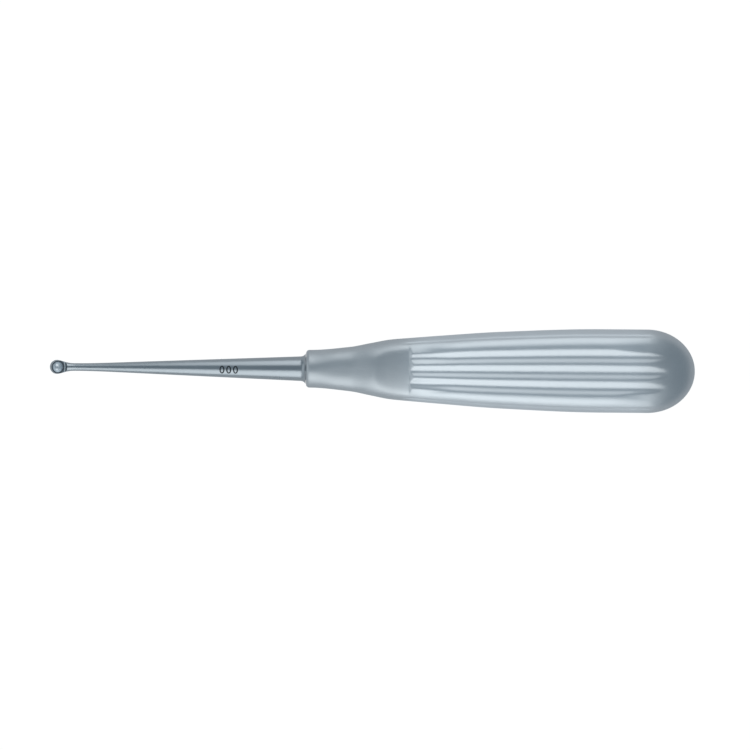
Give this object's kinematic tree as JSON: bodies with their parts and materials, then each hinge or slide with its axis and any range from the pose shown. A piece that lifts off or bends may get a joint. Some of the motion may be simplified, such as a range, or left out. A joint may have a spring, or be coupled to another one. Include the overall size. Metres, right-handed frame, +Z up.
{
  "type": "bone curette",
  "caption": "Straight bone curette: a small sharp round spoon on a tapered steel shaft, set in a hollow flattened handle with flutes and a thumb rest, for scraping bone.",
  "frame": {"origin": "centre of the instrument's outline, on the surface that the handle's back lies on", "axes": "+X along the instrument from the spoon to the rear end of the handle, +Z up, out of the spoon's open side and the thumb rest, +Y across to complete the frame"},
  "size_m": [0.17, 0.022, 0.0135],
  "materials": {
    "polished_steel": "fine polished stainless steel",
    "satin_steel": "satin stainless steel"
  },
  "bodies": {
    "root": {"spoon_shaft": "polished_steel", "handle": "satin_steel"}
  },
  "joints": []
}
